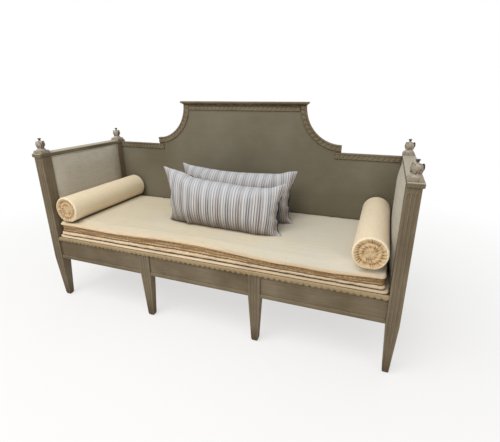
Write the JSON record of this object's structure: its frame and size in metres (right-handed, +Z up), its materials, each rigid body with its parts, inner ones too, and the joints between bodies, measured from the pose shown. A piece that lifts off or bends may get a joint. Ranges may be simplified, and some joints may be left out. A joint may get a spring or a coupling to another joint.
{
  "type": "gustavian sofa",
  "caption": "Painted wooden sofa with a shaped panelled back, stuffed arms with turned finials, fluted tapered legs, a loose mattress, bolsters and striped lumbar pillows.",
  "frame": {"origin": "on the floor under the middle of the sofa", "axes": "+X along the length to the right as seen from the front, +Y to the back, +Z up"},
  "size_m": [2.016, 0.709, 1.185],
  "materials": {
    "painted_wood": "worn grey-brown paint on carved hardwood",
    "bare_wood": "bare softwood",
    "arm_linen": "grey linen",
    "deck_linen": "cream linen",
    "mattress_linen": "natural linen with sewn rolled edges",
    "bolster_linen": "cream linen",
    "striped_cloth": "fine woven stripe in off-white, blue-grey and taupe",
    "jute_webbing": "jute"
  },
  "bodies": {
    "frame": {"back_panel": "painted_wood", "crest_cornice": "painted_wood", "crest_moulding": "painted_wood", "front_rail_moulding": "painted_wood", "front_seat_ledge": "bare_wood", "front_seat_rail": "painted_wood", "left_arm_board": "bare_wood", "left_arm_inner_pad": "arm_linen", "left_arm_outer_pad": "arm_linen", "left_arm_rail": "painted_wood", "left_back_batten": "bare_wood", "left_front_corner_block": "bare_wood", "left_front_finial": "painted_wood", "left_front_leg": "painted_wood", "left_front_post": "painted_wood", "left_rail_bead": "painted_wood", "left_rear_corner_block": "bare_wood", "left_rear_finial": "painted_wood", "left_rear_leg": "painted_wood", "left_rear_post": "painted_wood", "left_seat_rail": "painted_wood", "left_shoulder_moulding": "painted_wood", "left_side_moulding": "painted_wood", "middle_rail_bead": "painted_wood", "rear_seat_ledge": "bare_wood", "rear_seat_rail": "painted_wood", "right_arm_board": "bare_wood", "right_arm_inner_pad": "arm_linen", "right_arm_outer_pad": "arm_linen", "right_arm_rail": "painted_wood", "right_back_batten": "bare_wood", "right_front_corner_block": "bare_wood", "right_front_finial": "painted_wood", "right_front_leg": "painted_wood", "right_front_post": "painted_wood", "right_rail_bead": "painted_wood", "right_rear_corner_block": "bare_wood", "right_rear_finial": "painted_wood", "right_rear_leg": "painted_wood", "right_rear_post": "painted_wood", "right_seat_rail": "painted_wood", "right_shoulder_moulding": "painted_wood", "right_side_moulding": "painted_wood", "seat_deck": "deck_linen", "seat_frame_front_rail": "bare_wood", "seat_frame_left_cross_rail": "bare_wood", "seat_frame_left_end": "bare_wood", "seat_frame_rear_rail": "bare_wood", "seat_frame_right_cross_rail": "bare_wood", "seat_frame_right_end": "bare_wood", "seat_webbing": "jute_webbing"},
    "mattress": {"seat_mattress": "mattress_linen"},
    "left_bolster": {"left_bolster": "bolster_linen"},
    "right_bolster": {"right_bolster": "bolster_linen"},
    "rear_pillow": {"rear_pillow": "striped_cloth"},
    "front_pillow": {"front_pillow": "striped_cloth"}
  },
  "joints": [
    {"name": "mattress_lift", "type": "slide", "parent": "frame", "child": "mattress", "axis": [0, 0, 1], "range_m": [0, 0.06]},
    {"name": "left_bolster_lift", "type": "slide", "parent": "mattress", "child": "left_bolster", "axis": [0, 0, 1], "range_m": [0, 0.16]},
    {"name": "right_bolster_lift", "type": "slide", "parent": "mattress", "child": "right_bolster", "axis": [0, 0, 1], "range_m": [0, 0.16]},
    {"name": "rear_pillow_lift", "type": "slide", "parent": "mattress", "child": "rear_pillow", "axis": [0, 0, 1], "range_m": [0, 0.16]},
    {"name": "front_pillow_lift", "type": "slide", "parent": "rear_pillow", "child": "front_pillow", "axis": [0, 0, 1], "range_m": [0, 0.16]}
  ]
}
